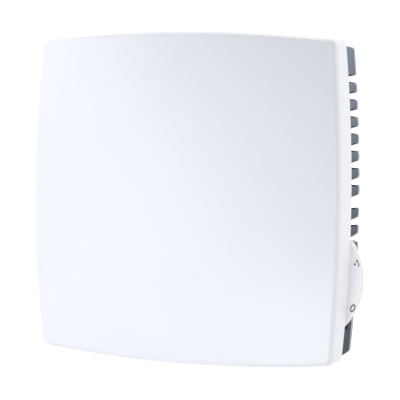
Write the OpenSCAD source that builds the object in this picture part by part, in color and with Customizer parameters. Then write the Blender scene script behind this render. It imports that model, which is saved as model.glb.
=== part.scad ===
// Wall-mounted room temperature sensor with a set-point thumb-wheel.
// Built flat on the bench: x to the right, y up the wall, z out of the wall.
// on_wall() then stands it up: +X right, +Z up, the wall at Y = 0 and the front towards -Y.

/* [Casing] */
// Width and height of the casing at the middle of its sides
case_size = 95; // [94:0.5:100]
// Depth from the wall to the middle of the domed front
case_depth = 29; // [28:0.5:34]
// How far each side bows outwards between its corners
side_bow = 2.3; // [1.5:0.1:3]
// Radius of the four corners
corner_r = 2.5; // [2.2:0.1:4]
// Depth of the rear housing, up to the front cover's rim
housing_depth = 16; // [16:0.5:18]
// Wall thickness of both shells
wall = 2; // [1.8:0.1:2.1]
// Thickness of the plate against the wall
plate_t = 2; // [1.6:0.1:2.4]
// Radius of the rounded edge round the cover's face
edge_r = 1.4; // [1:0.1:2]
// Radius of the sphere that the domed face lies on
dome_r = 565; // [450:5:900]
// Gap between the cover's rim and the housing
rim_gap = 0.15; // [0.1:0.05:0.3]

/* [Side vents] */
// Height of one short air slot at its open end
slot_h = 3.55; // [3:0.05:3.6]
// How much narrower each slot is at its rear end
slot_taper = 0.8; // [0:0.1:1]
// Distance between short slots
slot_pitch = 4.83; // [4.7:0.01:4.85]
// Short slots in each half of a side
slots_per_half = 7; // [4:1:7]
// Width of the rib in the middle of a side
middle_rib = 2.9; // [2:0.1:3.4]
// Height of the long slot at each end
long_slot_h = 8.8; // [6:0.05:9]
// Depth of the slots, measured back from the housing's rim
slot_depth = 7.7; // [6:0.1:8]
// Radius of a slot's two rear corners
slot_r = 0.9; // [0.4:0.1:1]

/* [Set-point wheel] */
// Diameter of the wheel
wheel_d = 39.6; // [38:0.1:40]
// Thickness of the wheel
wheel_t = 2.8; // [2.4:0.1:2.9]
// Distance of the wheel's axis from the casing's middle, to the right
wheel_x = 30.8; // [30:0.1:31]
// Height of the wheel's axis above the casing's middle
wheel_y = -22; // [-23:0.1:-21]
// Gap between the wheel's face and the plane of the cover's rim
wheel_gap = 0.6; // [0.4:0.1:0.7]
// Diameter of the potentiometer's shaft
shaft_d = 3; // [2.5:0.1:3.2]

/* [Wall fixing] */
// Distance between the two wall screws, one above the other
screw_pitch = 60; // [60, 60.3]
// Width of a wall screw slot
screw_slot_w = 4.2; // [3.6:0.1:4.6]
// Length of a wall screw slot, end to end
screw_slot_l = 8; // [6:0.5:9]
// Width of the cable opening
cable_w = 24; // [16:1:26]
// Height of the cable opening
cable_h = 18; // [12:1:18]

/* [Circuit board] */
// Width of the board
board_w = 79; // [78:0.5:79]
// Height of the board
board_h = 28.8; // [28:0.2:28.8]
// Height of the board's lower edge above the casing's middle
board_y = -39.8; // [-39.8:0.1:-39.5]
// Thickness of the board
board_t = 1.6; // [1:0.2:1.6]
// Height of the bosses that carry the board, from the wall
boss_z = 5; // [5:0.1:5.2]
// Thickness of the inner frame's ears, between bosses and board
ear_t = 1.2; // [1:0.1:1.2]

/* [Hidden] */
$fn = 48;
EPS = 0.01;
WHITE = [0.94, 0.95, 0.97];
DARK = [0.33, 0.37, 0.45];
STEEL = [0.75, 0.76, 0.78];

// Outline of the casing: four shallow arcs and four corner arcs.
half = case_size / 2;
half_chord = half - side_bow;
side_r = (half_chord * half_chord + side_bow * side_bow) / (2 * side_bow);
arc_c = side_r - half;
corner_q = side_r - corner_r;
corner_c = (-arc_c + sqrt(2 * corner_q * corner_q - arc_c * arc_c)) / 2;
SIDE_FN = 720;

// Side slots: the middle of each short slot above the casing's middle, and of the long one.
slot_y0 = (middle_rib + slot_h) / 2;
slot_rib = slot_pitch - slot_h;
short_top = slot_y0 + (slots_per_half - 1) * slot_pitch + slot_h / 2;
long_y0 = short_top + slot_rib;
long_y1 = long_y0 + long_slot_h;
wheel_slot_top = -(slot_y0 + 2 * slot_pitch - slot_h / 2);
slot_floor = housing_depth - slot_depth;

// Heights from the wall.
board_z = boss_z + ear_t;
board_top = board_z + board_t;
wheel_top = housing_depth - wheel_gap;
wheel_z = wheel_top - wheel_t;

// Inner frame.
frame_inset = wall + 1.2;
frame_t = 1.5;
frame_top = housing_depth - 0.8;
frame_bar_top = 9;
louvre_h = 1.1;
pad_inset = 0.5;
pad_gap = 0.3;

// Board screws, the same to the left and to the right, and the bosses and ears they hold.
SIDE_SCREW = [35.5, -13.7];
LOWER_SCREW = [16, -37];
SCREW_SPOTS = [[-SIDE_SCREW[0], SIDE_SCREW[1]], [-LOWER_SCREW[0], LOWER_SCREW[1]], LOWER_SCREW, SIDE_SCREW];
screw_r = 1.3;
screw_head_r = 2.5;
screw_head_h = 1.6;
screw_hole_r = 1.6;
boss_r = 3;
ear_reach = 43.2;

// Ribs on the wall plate.
rib_t = 1.2;
rib_h = 2.4;
rib_x = 24;
rib_y = [14, 40];
cross_rib_y = 20;
cable_rib_t = 1.2;
cable_rib_h = 1.6;

// Potentiometer.
pot_w = 11;
pot_floor = board_top + 0.8;
pot_top = board_top + 3.8;
pot_lid_t = 0.4;
pot_cavity_r = 4.6;
track_t = 0.6;
rotor_z = board_top + 2.1;
rotor_t = 1.3;
shaft_r = shaft_d / 2;
shaft_play = 0.05;
flat_x = shaft_r * 0.62;
pin_r = 0.4;
pot_pin_pitch = 2.5;
pot_pin_gap = 1.2;

// Set-point wheel.
hub_r = 4.5;
hub_rise = 0.4;
hub_z = wheel_z - hub_rise;
rim_t = 2.2;
web_r = 6;
hollow_h = 1.2;
seat_r = 3;
seat_h = 0.3;
wheel_screw_r = 0.85;
wheel_screw_head_r = 2.5;
wheel_clear = 0.3;

// Terminal block.
poles = 4;
pole_pitch = 5;
term_w = poles * pole_pitch + 0.6;
term_d = 8.4;
term_h = 9;
term_x = -32;
term_y = -20.6;

// Jumpers.
jump_pitch = 2.54;
jump_x = -3.4;
jump_y = -20.5;
jump_base_h = 2.5;
jump_pin_h = 8.4;

// Resistors and capacitor.
RES_Y = [-25, -28.8, -32.6];
res_x = -19;
res_l = 6.3;
res_r = 1.15;
res_z = board_top + res_r + 0.15;
res_span = 5.08;
lead_r = 0.3;
lead_end = board_z - 1.2;
cap_x = 13.5;
cap_y = -16;
cap_w = 7.2;
cap_t = 2.6;
cap_h = 4;
cap_pitch = 2.5;

// Sensor bead, in a cut-out at the board's lower left corner.
sensor_x = -37.2;
sensor_y = -35.5;
sensor_z = board_top + 2.2;
sensor_r = 1.3;
cutout_w = 5.4;
cutout_h = 9.6;
lead_gap = 1.27;
lead_pad_x = -29.5;
holder_x = [-33.4, -31.2];
holder_half = 2;

module on_wall() rotate([90, 0, 0]) children();

module arcs(r) {
    intersection_for (turn = [0 : 90 : 270])
        rotate(turn) translate([-arc_c, 0]) circle(r, $fn = SIDE_FN);
}

// The casing's outline moved inwards by inset.
module outline(inset = 0) {
    along = [(corner_c + arc_c) / corner_q, corner_c / corner_q];
    if (inset < corner_r) {
        difference() {
            arcs(side_r - inset);
            for (turn = [0 : 90 : 270]) rotate(turn)
                polygon([[corner_c, corner_c],
                    [corner_c + 20 * along[0], corner_c + 20 * along[1]],
                    [corner_c + 30, corner_c + 30],
                    [corner_c + 20 * along[1], corner_c + 20 * along[0]]]);
        }
        for (turn = [0 : 90 : 270]) rotate(turn)
            translate([corner_c, corner_c]) circle(corner_r - inset);
    } else {
        arcs(side_r - inset);
    }
}

module slab(z0, z1) translate([0, 0, z0]) linear_extrude(z1 - z0) children();

// A box between two opposite corners.
module block(low, high) translate(low) cube(high - low);

module rod(x, y, z0, z1, r) translate([x, y, z0]) cylinder(h = z1 - z0, r = r);

// Outline of a notch in a side wall, open at the housing's rim. It narrows towards its two rounded
// rear corners.
module notch_shape(y0, y1) {
    rear = [y0 + slot_taper / 2, y1 - slot_taper / 2];
    bend = [for (a = [0 : 22.5 : 90]) [slot_r * (1 - sin(a)), slot_r * (1 - cos(a))]];
    n = len(bend);
    outline_points = concat(
        [[y0, housing_depth], [y0, housing_depth + 1], [y1, housing_depth + 1], [y1, housing_depth]],
        [for (i = [0 : n - 1]) [rear[1] - bend[i][1], slot_floor + bend[i][0]]],
        [for (i = [n - 1 : -1 : 0]) [rear[0] + bend[i][1], slot_floor + bend[i][0]]]);
    polygon(outline_points);
}

// A notch goes through the wall. A pad of the dark frame fills it, but for a narrow gap all round.
module notch(y0, y1, is_pad) {
    translate([half - (is_pad ? 5.5 : 6), 0, 0]) rotate([90, 0, 90]) linear_extrude(9) {
        if (is_pad) offset(delta = -pad_gap) notch_shape(y0, y1);
        else notch_shape(y0, y1);
    }
}

// Short slots number first to last in one half of a side, then that half's long slot.
module half_comb(first, last, is_pad) {
    for (i = [first : last]) let (middle = slot_y0 + i * slot_pitch)
        notch(middle - slot_h / 2, middle + slot_h / 2, is_pad);
}

module side_vents(is_pad = false) {
    half_comb(0, slots_per_half - 1, is_pad);
    notch(long_y0, long_y1, is_pad);
    mirror([0, 1, 0]) half_comb(0, 1, is_pad);
    notch(-long_y1, wheel_slot_top, is_pad);
    mirror([1, 0, 0]) for (flip = [0, 1]) mirror([0, flip, 0]) {
        half_comb(0, slots_per_half - 1, is_pad);
        notch(long_y0, long_y1, is_pad);
    }
}

module screw_slot() {
    straight = screw_slot_l - screw_slot_w;
    translate([-screw_slot_w / 2, -straight / 2]) square([screw_slot_w, straight]);
    for (side = [-1, 1]) translate([0, side * straight / 2]) circle(screw_slot_w / 2);
}

module each_wall_screw() {
    for (side = [-1, 1]) translate([0, side * screw_pitch / 2]) children();
}

// Shallow grooves for the beads on the cover's tongues.
module bead_grooves() {
    for (flip = [0, 1], side = [-1, 1]) mirror([0, flip, 0])
        block([side * tongue_x - tongue_w / 2 - 0.5, half - wall - 1, tongue_bead_z - 0.6],
            [side * tongue_x + tongue_w / 2 + 0.5, half - wall + 0.1, tongue_bead_z + 0.6]);
}

module rear_housing() color(WHITE) on_wall() difference() {
    union() {
        difference() {
            slab(0, housing_depth) outline();
            slab(plate_t, housing_depth + 1) outline(wall);
        }
        // Bosses for the board's screws.
        for (spot = SCREW_SPOTS) rod(spot[0], spot[1], plate_t - EPS, boss_z, boss_r);
        // Rib round the cable opening, and three stiffening ribs above it.
        slab(plate_t - EPS, plate_t + cable_rib_h) difference() {
            square([cable_w + 1.6 + 2 * cable_rib_t, cable_h + 0.6 + 2 * cable_rib_t], center = true);
            square([cable_w + 1.6, cable_h + 0.6], center = true);
        }
        for (side = [-1, 1])
            block([side * rib_x - rib_t / 2, rib_y[0], plate_t - EPS],
                [side * rib_x + rib_t / 2, rib_y[1], plate_t + rib_h]);
        block([-rib_x + rib_t / 2, cross_rib_y - rib_t / 2, plate_t - EPS],
            [rib_x - rib_t / 2, cross_rib_y + rib_t / 2, plate_t + rib_h]);
    }
    side_vents();
    bead_grooves();
    // Room for the wheel behind the vent ribs.
    rod(wheel_x, wheel_y, hub_z, housing_depth + 1, wheel_d / 2 + wheel_clear, $fn = 96);
    slab(-1, plate_t + 1) each_wall_screw() screw_slot();
    block([-cable_w / 2, -cable_h / 2, -1], [cable_w / 2, cable_h / 2, plate_t + 1]);
    for (spot = SCREW_SPOTS) rod(spot[0], spot[1], plate_t - 1.2, boss_z + 1, screw_r + 0.05);
}

// Pads of the dark frame stand in the comb's notches. Its slits are behind the ribs, so air goes
// round a pad and through a slit, and the eye cannot follow.
module louvres(first_y, last_y) {
    for (i = [0 : slots_per_half - 1]) {
        y = slot_y0 + (i + 0.5) * slot_pitch;
        if (y > first_y && y < last_y)
            block([half - 9, y - louvre_h / 2, 4.6], [half, y + louvre_h / 2, frame_top - 2]);
    }
}

module inner_frame() color(DARK) on_wall() {
    difference() {
        union() {
            slab(plate_t + 0.2, frame_top) difference() {
                outline(frame_inset);
                outline(frame_inset + frame_t);
            }
            intersection() {
                side_vents(true);
                slab(0, housing_depth - pad_gap / 2) difference() {
                    outline(pad_inset);
                    outline(frame_inset + 0.1);
                }
            }
        }
        block([-half + 9, -half, frame_bar_top], [half - 9, half, frame_top + 1]);
        louvres(0, half);
        mirror([0, 1, 0]) louvres(0, slot_y0 + slot_pitch);
        mirror([1, 0, 0]) for (flip = [0, 1]) mirror([0, flip, 0]) louvres(0, half);
        rod(wheel_x, wheel_y, wheel_z - 0.7, frame_top + 1, wheel_d / 2 + 0.7, $fn = 96);
    }
    // Ears under the board's screws.
    for (side = [-1, 1]) {
        difference() {
            block([side > 0 ? SIDE_SCREW[0] - boss_r : -ear_reach, SIDE_SCREW[1] - boss_r, boss_z],
                [side > 0 ? ear_reach : -SIDE_SCREW[0] + boss_r, SIDE_SCREW[1] + boss_r, board_z]);
            rod(side * SIDE_SCREW[0], SIDE_SCREW[1], boss_z - 1, board_z + 1, screw_hole_r);
        }
        difference() {
            block([side * LOWER_SCREW[0] - boss_r, -ear_reach - 0.4, boss_z],
                [side * LOWER_SCREW[0] + boss_r, LOWER_SCREW[1] + boss_r, board_z]);
            rod(side * LOWER_SCREW[0], LOWER_SCREW[1], boss_z - 1, board_z + 1, screw_hole_r);
        }
    }
}

module each_pole() {
    for (i = [0 : poles - 1]) translate([term_x + 0.3 + (i + 0.5) * pole_pitch, term_y, 0]) children();
}

module each_jumper_pin() {
    for (i = [0 : 2], j = [0, 1]) translate([jump_x + i * jump_pitch, jump_y + j * jump_pitch, 0])
        children();
}

module each_pot_pin() {
    for (i = [-1 : 1]) translate([wheel_x + i * pot_pin_pitch, wheel_y - pot_w / 2 - pot_pin_gap, 0])
        children();
}

module each_sensor_lead() {
    for (side = [-1, 1]) translate([0, sensor_y + side * lead_gap / 2, 0]) children();
}

module circuit_board() color([0.07, 0.36, 0.22]) on_wall() slab(board_z, board_top) difference() {
    translate([-board_w / 2, board_y]) square([board_w, board_h]);
    translate([-board_w / 2 - 1, board_y - 1]) square([cutout_w + 1, cutout_h + 1]);
    for (spot = SCREW_SPOTS) translate(spot) circle(screw_hole_r);
    translate([0, -screw_pitch / 2]) circle(5.5);
    each_pole() translate([0, term_d / 2]) circle(0.6);
    each_jumper_pin() circle(0.5);
    each_pot_pin() circle(0.6);
    each_sensor_lead() translate([lead_pad_x, 0]) circle(lead_r + 0.1);
    for (y = RES_Y, side = [-1, 1]) translate([res_x + side * res_span, y]) circle(lead_r + 0.1);
    for (side = [-1, 1]) translate([cap_x + side * cap_pitch, cap_y]) circle(lead_r + 0.1);
}

module board_screws() color(STEEL) on_wall() for (spot = SCREW_SPOTS) translate(spot) difference() {
    union() {
        rod(0, 0, plate_t + 0.4, board_top + 0.5, screw_r);
        rod(0, 0, board_top + 0.02, board_top + screw_head_h, screw_head_r);
    }
    for (turn = [0, 90]) rotate(turn)
        block([-1.5, -0.3, board_top + 0.7], [1.5, 0.3, board_top + 2]);
}

module potentiometer_case() color([0.13, 0.14, 0.16]) on_wall() translate([wheel_x, wheel_y, 0])
    difference() {
        block([-pot_w / 2, -pot_w / 2, board_top + 0.02], [pot_w / 2, pot_w / 2, pot_top]);
        rod(0, 0, pot_floor, pot_top + 1, pot_cavity_r);
    }

module potentiometer_lid() color(STEEL) on_wall() translate([wheel_x, wheel_y, 0]) {
    difference() {
        block([-pot_w / 2, -pot_w / 2, pot_top], [pot_w / 2, pot_w / 2, pot_top + pot_lid_t]);
        rod(0, 0, pot_top - 1, pot_top + 1, shaft_r + shaft_play);
    }
    // Bent-down tabs that clamp the lid on the case.
    for (side = [-1, 1])
        block([side > 0 ? pot_w / 2 : -pot_w / 2 - 0.3, -1.5, board_top + 0.6],
            [side > 0 ? pot_w / 2 + 0.3 : -pot_w / 2, 1.5, pot_top + pot_lid_t]);
}

module potentiometer_track() color([0.2, 0.17, 0.15]) on_wall() translate([wheel_x, wheel_y, 0])
    difference() {
        rod(0, 0, pot_floor, pot_floor + track_t, pot_cavity_r - 0.1);
        rod(0, 0, pot_floor - 1, pot_floor + 1, shaft_r + shaft_play);
        // The gap between the two ends of the resistive ring.
        block([-0.6, -pot_cavity_r, pot_floor + track_t - 0.15], [0.6, -2, pot_floor + 1]);
    }

module potentiometer_pins() color([0.8, 0.78, 0.72]) on_wall() each_pot_pin() {
    block([-0.5, 0.4, board_top + 1], [0.5, 1.2, board_top + 1.3]);
    block([-0.5, -0.15, board_top + 0.1], [0.5, 0.41, board_top + 1.3]);
    rod(0, 0, board_z - 1.4, board_top + 0.5, pin_r);
}

module d_section(r) {
    intersection() {
        circle(r);
        translate([-r - 1, -r - 1]) square([r + 1 + flat_x, 2 * r + 2]);
    }
}

module potentiometer_shaft() color(STEEL) on_wall() translate([wheel_x, wheel_y, 0]) difference() {
    union() {
        rod(0, 0, pot_floor + 0.1, hub_z, shaft_r);
        slab(hub_z - EPS, wheel_top - seat_h) d_section(shaft_r);
    }
    rod(0, 0, wheel_top - 4.2, wheel_top, 0.9);
}

module setpoint_wheel() color(WHITE) on_wall() translate([wheel_x, wheel_y, 0]) difference() {
    union() {
        rod(0, 0, wheel_z, wheel_top, wheel_d / 2, $fn = 180);
        rod(0, 0, hub_z, wheel_z + EPS, hub_r);
    }
    slab(wheel_z - 1, wheel_top + 1) d_section(shaft_r);
    // Hollow at the back between hub and rim.
    slab(wheel_z - 1, wheel_z + hollow_h) difference() {
        circle(wheel_d / 2 - rim_t, $fn = 120);
        circle(web_r);
    }
    // Shallow seat for the screw's head.
    rod(0, 0, wheel_top - seat_h, wheel_top + 1, seat_r);
}

module wheel_screw() color(STEEL) on_wall() translate([wheel_x, wheel_y, 0]) difference() {
    union() {
        rod(0, 0, wheel_top - 4, wheel_top - seat_h + EPS, wheel_screw_r);
        rod(0, 0, wheel_top - seat_h, wheel_top + 1, wheel_screw_head_r);
    }
    for (turn = [0, 90]) rotate(turn) block([-1.4, -0.3, wheel_top + 0.2], [1.4, 0.3, wheel_top + 2]);
}

module wiper_rotor() color([0.85, 0.84, 0.8]) on_wall() translate([wheel_x, wheel_y, 0]) difference() {
    rod(0, 0, rotor_z, rotor_z + rotor_t, pot_cavity_r - 0.6);
    rod(0, 0, rotor_z - 1, rotor_z + 2, shaft_r);
}

// Two spring fingers under the rotor, one on the track and one on the inner ring.
module wiper_contact() color([0.85, 0.65, 0.35]) on_wall() translate([wheel_x, wheel_y, 0]) rotate(40) {
    block([1.8, -0.9, rotor_z - 0.2], [3.9, 0.9, rotor_z]);
    for (x = [2.1, 3.3]) block([x, -0.9, pot_floor + track_t + 0.05], [x + 0.5, -0.6, rotor_z - 0.19]);
}

module terminal_block() color([0.16, 0.42, 0.3]) on_wall() difference() {
    block([term_x, term_y, board_top + 0.02], [term_x + term_w, term_y + term_d, board_top + term_h]);
    each_pole() {
        block([-1.95, 1.2, board_top + 1], [1.95, 6.8, board_top + 6]);
        block([-1.6, 6, board_top + 1.6], [1.6, term_d + 1, board_top + 5]);
        rod(0, 4, board_top + 5, board_top + term_h + 1, 1.75);
        rod(0, 4.2, board_top - 1, board_top + 2, 0.55);
    }
}

module terminal_cages() color([0.8, 0.78, 0.72]) on_wall() each_pole() difference() {
    block([-1.8, 1.4, board_top + 1.3], [1.8, 6.5, board_top + 5.7]);
    block([-1.2, 0, board_top + 1.9], [1.2, 8, board_top + 4.4]);
    rod(0, 4, board_top + 4, board_top + 7, 1.05);
}

module terminal_screws() color(STEEL) on_wall() each_pole() difference() {
    union() {
        rod(0, 4, board_top + 4.1, board_top + 7, 1);
        rod(0, 4, board_top + 6.4, board_top + 7.8, 1.65);
    }
    block([-2, 3.7, board_top + 7.1], [2, 4.3, board_top + 9]);
}

module terminal_pins() color([0.8, 0.78, 0.72]) on_wall() each_pole()
    rod(0, 4.2, board_z - 1.6, board_top + 1.28, 0.5);

module jumper_base() color([0.1, 0.1, 0.11]) on_wall() difference() {
    block([jump_x - jump_pitch / 2, jump_y - jump_pitch / 2, board_top + 0.02],
        [jump_x + 2.5 * jump_pitch, jump_y + 1.5 * jump_pitch, board_top + jump_base_h]);
    each_jumper_pin() block([-0.34, -0.34, board_top - 1], [0.34, 0.34, board_top + 3]);
}

module jumper_pins() color([0.85, 0.7, 0.35]) on_wall() each_jumper_pin()
    block([-0.32, -0.32, board_z - 1.6], [0.32, 0.32, board_top + jump_pin_h]);

module jumper_cap() color([0.12, 0.25, 0.55]) on_wall() difference() {
    block([jump_x - 1.2, jump_y - 1.2, board_top + jump_base_h + 0.1],
        [jump_x + 1.2, jump_y + jump_pitch + 1.2, board_top + jump_base_h + 6.6]);
    for (j = [0, 1]) translate([jump_x, jump_y + j * jump_pitch, 0])
        block([-0.4, -0.4, board_top], [0.4, 0.4, board_top + jump_pin_h + 0.2]);
}

// Where a wire turns down into the board.
module lead_bend() cube(2.2 * lead_r, center = true);

// Bodies of three axial resistors, lying on the board.
module resistors() color([0.8, 0.7, 0.5]) on_wall() for (y = RES_Y)
    translate([res_x, y, res_z]) rotate([0, 90, 0]) {
        cylinder(h = res_l - 1.6, r = res_r * 0.85, center = true);
        for (side = [-1, 1]) translate([0, 0, side * (res_l / 2 - 0.9)])
            cylinder(h = 1.8, r = res_r, center = true);
    }

module resistor_leads() color(STEEL) on_wall() for (y = RES_Y, side = [-1, 1]) {
    translate([res_x + side * (res_l / 2 + EPS), y, res_z]) rotate([0, side * 90, 0])
        cylinder(h = res_span - res_l / 2, r = lead_r, $fn = 16);
    rod(res_x + side * res_span, y, lead_end, res_z, lead_r, $fn = 16);
    translate([res_x + side * res_span, y, res_z]) lead_bend();
}

module capacitor() color([0.75, 0.2, 0.15]) on_wall()
    block([cap_x - cap_w / 2, cap_y - cap_t / 2, board_top + 0.2],
        [cap_x + cap_w / 2, cap_y + cap_t / 2, board_top + cap_h]);

module capacitor_leads() color(STEEL) on_wall() for (side = [-1, 1])
    rod(cap_x + side * cap_pitch, cap_y, lead_end, board_top + 0.2, lead_r, $fn = 16);

// A dipped bead, turned from a round nose and a short neck where the leads go in.
module temperature_sensor() color([0.08, 0.08, 0.09]) on_wall()
    translate([sensor_x, sensor_y, sensor_z]) rotate([0, 90, 0]) rotate_extrude() {
        intersection() {
            circle(sensor_r);
            translate([0, -sensor_r]) square([sensor_r, 2 * sensor_r]);
        }
        square([0.98, 2]);
    }

module sensor_leads() color(STEEL) on_wall() each_sensor_lead() {
    translate([sensor_x + 2.01, 0, sensor_z]) rotate([0, 90, 0])
        cylinder(h = lead_pad_x - sensor_x - 2, r = lead_r, $fn = 16);
    rod(lead_pad_x, 0, lead_end, sensor_z, lead_r, $fn = 16);
    translate([lead_pad_x, 0, sensor_z]) lead_bend();
}

module sensor_holder() color([0.88, 0.88, 0.86]) on_wall() difference() {
    block([holder_x[0], sensor_y - holder_half, board_top + 0.02],
        [holder_x[1], sensor_y + holder_half, sensor_z + 1]);
    each_sensor_lead() translate([holder_x[0] - 1, 0, sensor_z]) rotate([0, 90, 0])
        cylinder(h = 5, r = lead_r + 0.03, $fn = 16);
}

// Front cover. Its shell is one sweep: rings of points that follow the outline from the rim,
// round the edge and in to the middle of the dome, then back along the inside.
SIDE_STEPS = 10;
CORNER_STEPS = 4;
EDGE_STEPS = 5;
tongue_x = 19;
tongue_w = 12;
tongue_bead_z = 13;
cover_z = housing_depth + rim_gap;

function dome(p, drop = 0) = case_depth - dome_r + sqrt(pow(dome_r - drop, 2) - p[0] * p[0] - p[1] * p[1]);
function turned(p, a) = [p[0] * cos(a) - p[1] * sin(a), p[0] * sin(a) + p[1] * cos(a)];
function side_end(inset) = inset < corner_r ? asin(corner_c / corner_q)
    : acos(arc_c / ((side_r - inset) * sqrt(2))) - 45;
function side_point(inset, u) = [(side_r - inset) * cos(u) - arc_c, (side_r - inset) * sin(u)];
function corner_point(inset, u) =
    [corner_c + max(corner_r - inset, 0) * cos(u), corner_c + max(corner_r - inset, 0) * sin(u)];

// One turn of the outline, moved inwards by inset (less than corner_r).
function ring(inset) = [for (turn = [0 : 90 : 270], i = [0 : SIDE_STEPS + CORNER_STEPS - 1])
    let (u = side_end(inset),
        p = i <= SIDE_STEPS ? side_point(inset, -u + 2 * u * i / SIDE_STEPS)
            : corner_point(inset, u + (90 - 2 * u) * (i - SIDE_STEPS) / CORNER_STEPS))
    turned(p, turn)];
function lifted(points, z) = [for (p = points) [p[0], p[1], z]];
function on_dome(points, share, drop) =
    [for (p = points) let (q = [p[0] * share, p[1] * share]) [q[0], q[1], dome(q, drop)]];
function edge_ring(a) = [for (i = [0 : len(ring(0)) - 1])
    let (p = ring(edge_r * (1 - cos(a)))[i], q = ring(edge_r)[i])
    [p[0], p[1], dome(q) - edge_r * (1 - sin(a))]];

module shell_sweep() {
    outer = ring(edge_r);
    inner = ring(wall);
    shares = [0.8, 0.55, 0.28];
    rings = concat([lifted(ring(0), cover_z)],
        [for (i = [0 : EDGE_STEPS]) edge_ring(90 * i / EDGE_STEPS)],
        [for (share = shares) on_dome(outer, share, 0)],
        [for (i = [len(shares) - 1 : -1 : 0]) on_dome(inner, shares[i], wall)],
        [on_dome(inner, 1, wall), lifted(inner, cover_z)]);
    n = len(outer);
    last_out = EDGE_STEPS + 1 + len(shares);
    first_in = last_out + 1;
    total = len(rings) * n;
    points = concat([for (r = rings) each r],
        [[0, 0, dome([0, 0], 0)], [0, 0, dome([0, 0], wall)]]);
    bands = concat([for (r = [0 : last_out - 1]) [r, r + 1]],
        [for (r = [first_in : len(rings) - 2]) [r, r + 1]], [[len(rings) - 1, 0]]);
    faces = concat(
        [for (b = bands, i = [0 : n - 1]) each let (j = (i + 1) % n)
            [[b[0] * n + i, b[1] * n + i, b[1] * n + j], [b[0] * n + i, b[1] * n + j, b[0] * n + j]]],
        [for (i = [0 : n - 1]) [last_out * n + i, total, last_out * n + (i + 1) % n]],
        [for (i = [0 : n - 1]) [first_in * n + i, first_in * n + (i + 1) % n, total + 1]]);
    polyhedron(points, faces, convexity = 4);
}

// Four tongues hold the cover in the housing's top and bottom walls. Their beads snap in.
module tongues() {
    for (flip = [0, 1], side = [-1, 1]) mirror([0, flip, 0]) translate([side * tongue_x, 0, 0]) {
        block([-tongue_w / 2, half - wall - 2.6, 12], [tongue_w / 2, half - wall - 1.2, cover_z + 4]);
        block([-tongue_w / 2, half - wall - 1.3, cover_z + 0.2],
            [tongue_w / 2, half - wall + 0.6, cover_z + 4]);
        translate([0, half - wall - 1.2, tongue_bead_z]) rotate([0, 90, 0])
            cylinder(h = tongue_w - 4, r = 0.25, center = true, $fn = 24);
    }
}

module front_cover() color(WHITE) on_wall() {
    shell_sweep();
    tongues();
}

rear_housing();
inner_frame();
circuit_board();
board_screws();
potentiometer_case();
potentiometer_lid();
potentiometer_track();
potentiometer_pins();
temperature_sensor();
sensor_leads();
sensor_holder();
terminal_block();
terminal_cages();
terminal_screws();
terminal_pins();
jumper_base();
jumper_pins();
jumper_cap();
resistors();
resistor_leads();
capacitor();
capacitor_leads();
setpoint_wheel();
wheel_screw();
potentiometer_shaft();
wiper_rotor();
wiper_contact();
front_cover();
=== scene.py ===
import math

import bmesh
import bpy
from mathutils import Matrix, Vector


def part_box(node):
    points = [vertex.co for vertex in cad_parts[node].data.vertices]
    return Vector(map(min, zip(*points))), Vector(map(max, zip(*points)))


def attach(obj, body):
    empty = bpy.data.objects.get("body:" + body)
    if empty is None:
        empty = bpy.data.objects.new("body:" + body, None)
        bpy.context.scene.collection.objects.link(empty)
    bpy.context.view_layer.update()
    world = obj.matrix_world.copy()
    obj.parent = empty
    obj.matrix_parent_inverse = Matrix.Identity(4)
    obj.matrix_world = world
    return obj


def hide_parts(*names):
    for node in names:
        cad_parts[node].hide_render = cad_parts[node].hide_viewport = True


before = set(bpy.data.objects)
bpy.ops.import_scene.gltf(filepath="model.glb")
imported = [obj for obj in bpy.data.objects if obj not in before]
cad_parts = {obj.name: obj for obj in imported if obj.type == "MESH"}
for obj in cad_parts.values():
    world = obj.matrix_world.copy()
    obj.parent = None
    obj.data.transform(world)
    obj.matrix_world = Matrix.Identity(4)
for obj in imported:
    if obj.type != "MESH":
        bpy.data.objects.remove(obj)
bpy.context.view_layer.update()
scene = bpy.context.scene

# --- Camera ---------------------------------------------------------------------------
# A long lens, a little to the right of the unit and just above its middle. Lengths in this
# script are millimetres until at() turns them into the frame's metres.
MM = 0.001


def at(x, up, out):
    """A point x to the right, up the wall and out from the wall, in the frame's metres."""
    return Vector((x * MM, -out * MM, up * MM))


camera_turn = math.radians(22.73)
camera_rise = math.radians(4.2)
camera_roll = math.radians(0.48)
camera_distance = 467.1
camera_aim = at(0, 0, 25.16)
# How far the camera stands beside and below the line through its aim.
camera_side = 4.82
camera_drop = 0.33
camera_lens = 146.87

back = Vector((
    math.sin(camera_turn) * math.cos(camera_rise),
    -math.cos(camera_turn) * math.cos(camera_rise),
    math.sin(camera_rise),
))
right = Vector((0, 0, 1)).cross(back).normalized()
above = back.cross(right)
camera = bpy.data.objects.new("camera", bpy.data.cameras.new("camera"))
scene.collection.objects.link(camera)
camera.data.lens = camera_lens
camera.data.clip_start = 0.01
camera_way = back * camera_distance + right * camera_side - above * camera_drop
camera.location = camera_aim + camera_way * MM
camera.rotation_mode = "QUATERNION"
turned_right = right * math.cos(camera_roll) + above * math.sin(camera_roll)
turned_up = above * math.cos(camera_roll) - right * math.sin(camera_roll)
camera.rotation_quaternion = Matrix((turned_right, turned_up, back)).transposed().to_quaternion()
scene.camera = camera


# --- Studio ---------------------------------------------------------------------------
# The unit hangs in a white surrounding that is dimmer in front of it than behind it. Seven soft
# lamps on the left and below give the face its slanting gradient. Two light the right side
# and one the top edge.
def linear(code):
    """An sRGB hex colour as the linear RGBA that the nodes work in."""
    parts = [int(code[i:i + 2], 16) / 255 for i in (1, 3, 5)]
    return (*[c / 12.92 if c <= 0.04045 else ((c + 0.055) / 1.055) ** 2.4 for c in parts], 1)


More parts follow.
